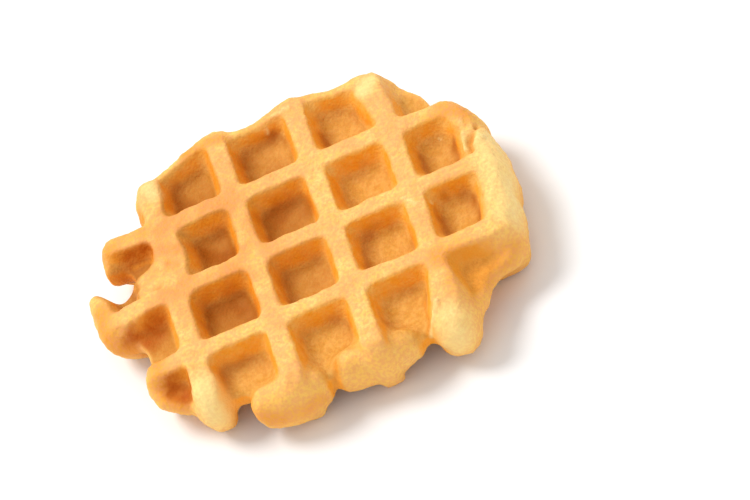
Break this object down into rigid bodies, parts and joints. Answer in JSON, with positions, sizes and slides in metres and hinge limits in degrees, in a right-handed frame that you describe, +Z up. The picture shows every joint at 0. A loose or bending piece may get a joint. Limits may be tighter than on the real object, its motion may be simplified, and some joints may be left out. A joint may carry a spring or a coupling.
{
  "type": "waffle",
  "caption": "Thick yeast dough waffle with square pockets pressed into both faces and an uneven, free swollen rim of rolls and noses, lying flat and ready to eat.",
  "frame": {"origin": "middle of the underside's bounding box, on the surface that the waffle lies on", "axes": "+Z up through the thickness, out of the face that shows; +X along the longer way across, which is along one set of ridges; +Y along the other set, away from the side nearest the viewer"},
  "size_m": [0.1218, 0.1008, 0.0215],
  "materials": {
    "golden_crust": "matte, browned in patches, pale round the rim"
  },
  "bodies": {
    "root": {"waffle": "golden_crust"}
  },
  "joints": []
}
